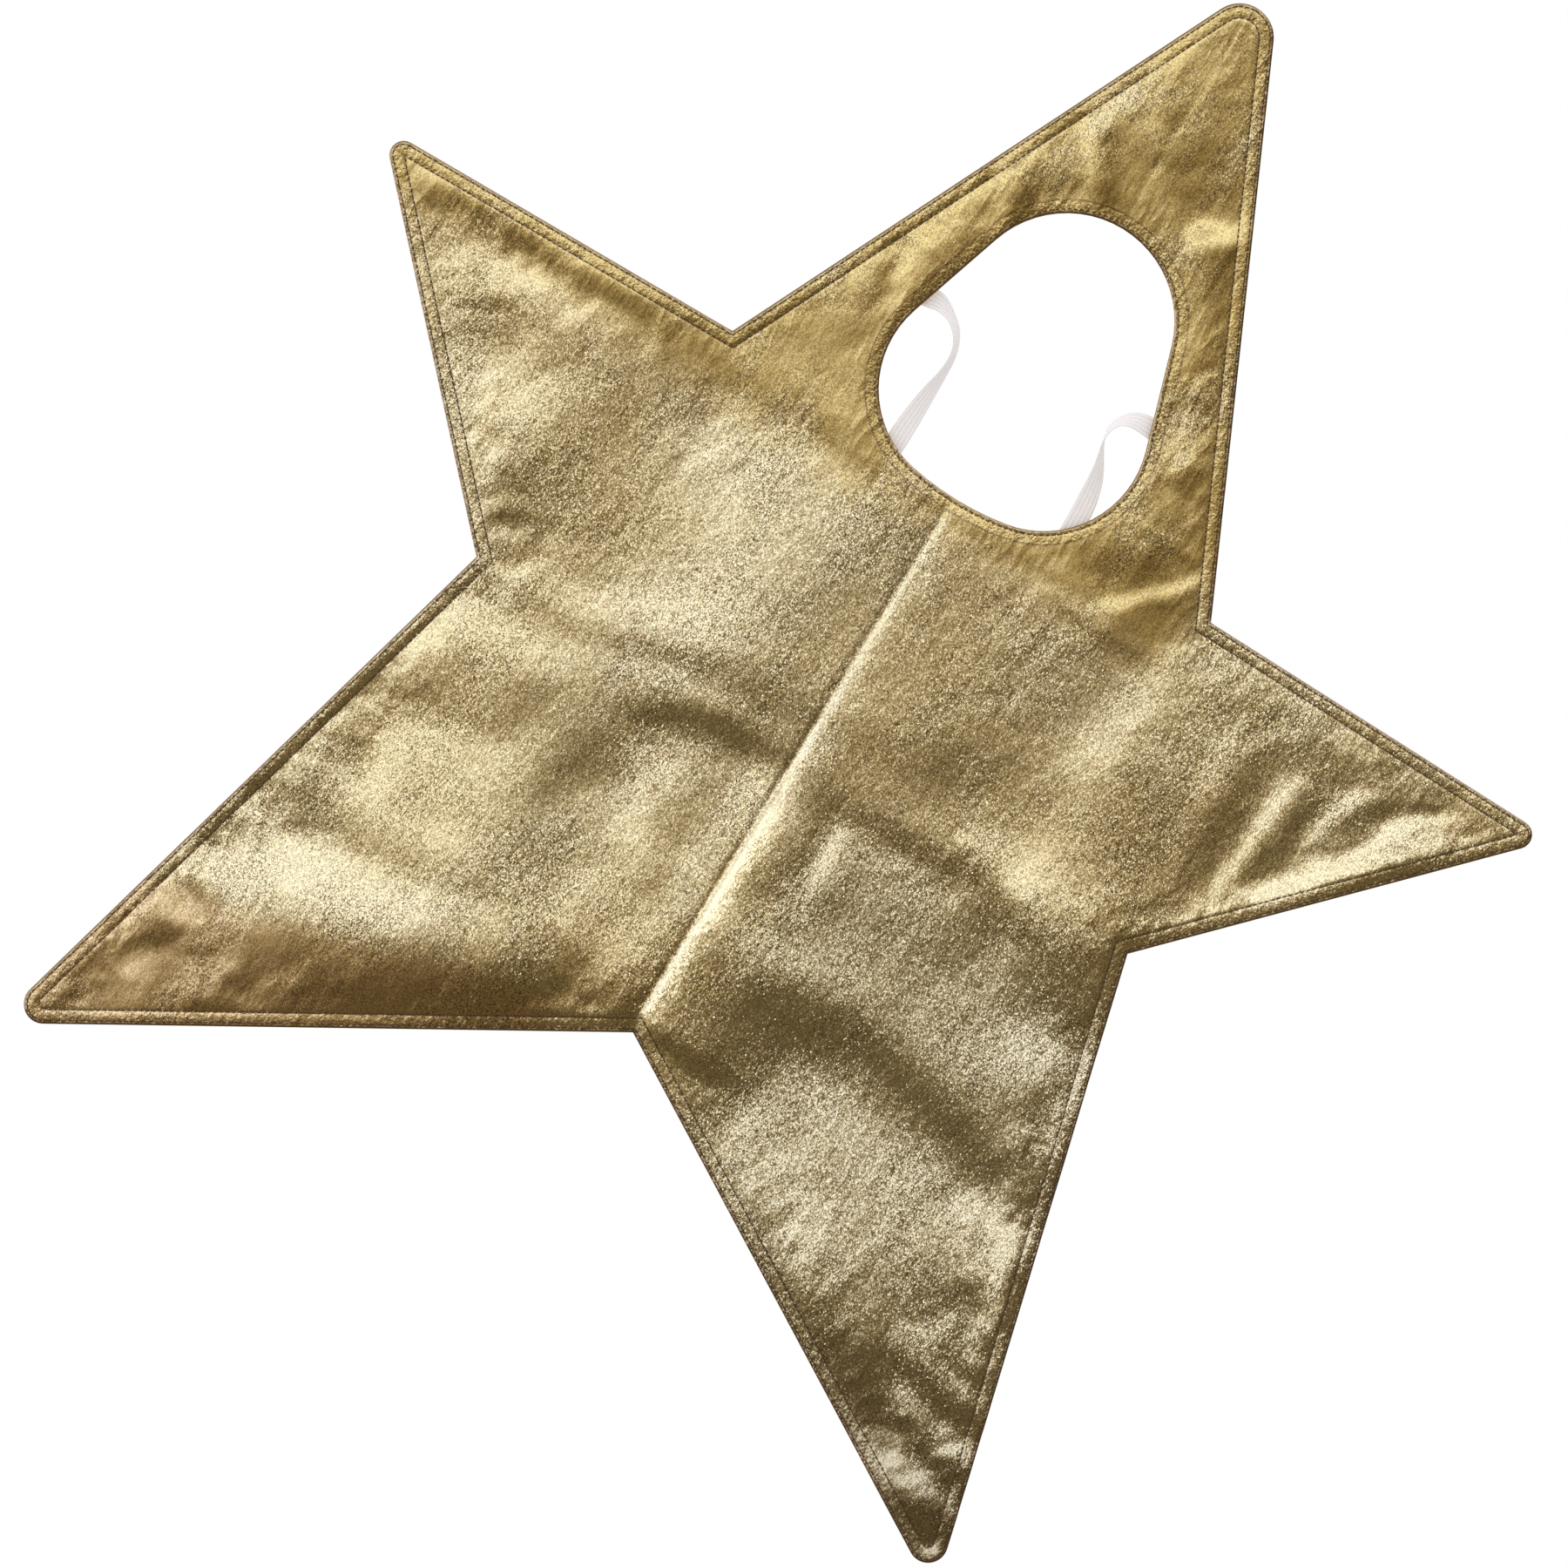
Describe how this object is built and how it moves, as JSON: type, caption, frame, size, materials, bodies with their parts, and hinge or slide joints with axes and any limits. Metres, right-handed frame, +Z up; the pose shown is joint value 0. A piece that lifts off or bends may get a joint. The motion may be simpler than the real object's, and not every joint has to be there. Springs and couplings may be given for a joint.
{
  "type": "star costume tabard",
  "caption": "Padded five-pointed star costume panel in gold lamé with a round face opening, topstitched edges and elastic arm loops behind.",
  "frame": {"origin": "centre of the face opening, in the middle of the panel's thickness", "axes": "worn upright: +Z up towards the top point, -Y out of the gold front, +X to the right as seen from the front"},
  "size_m": [0.7348, 0.0061, 0.8276],
  "materials": {
    "gold_lame": "gloss",
    "lining": "satin",
    "wadding": "matte",
    "brown_thread": "matte",
    "elastic": "matte",
    "white_thread": "matte"
  },
  "bodies": {
    "left_half": {"front_shell_left": "gold_lame", "wadding_left": "wadding", "back_lining_left": "lining", "edge_stitching_left": "brown_thread", "inner_stitching_left": "brown_thread", "face_stitching_left": "brown_thread", "left_loop_upper_end": "elastic", "left_loop_upper_tack": "white_thread", "left_loop_lower_end": "elastic", "left_loop_lower_tack": "white_thread"},
    "right_half": {"front_shell_right": "gold_lame", "wadding_right": "wadding", "back_lining_right": "lining", "edge_stitching_right": "brown_thread", "inner_stitching_right": "brown_thread", "face_stitching_right": "brown_thread", "right_loop_upper_end": "elastic", "right_loop_upper_tack": "white_thread", "right_loop_lower_end": "elastic", "right_loop_lower_tack": "white_thread"},
    "left_loop": {"left_arm_loop": "elastic"},
    "right_loop": {"right_arm_loop": "elastic"}
  },
  "joints": [
    {"name": "centre_fold", "type": "hinge", "parent": "left_half", "child": "right_half", "pos_m": [0, -0.007, -0.17], "axis": [0, 0, -1], "range_deg": [0, 175]},
    {"name": "left_loop_swing", "type": "hinge", "parent": "left_half", "child": "left_loop", "pos_m": [-0.095, 0.0039, -0.096], "axis": [0, 0, 1], "range_deg": [0, 165]},
    {"name": "right_loop_swing", "type": "hinge", "parent": "right_half", "child": "right_loop", "pos_m": [0.095, 0.0039, -0.096], "axis": [0, 0, -1], "range_deg": [0, 165]}
  ]
}
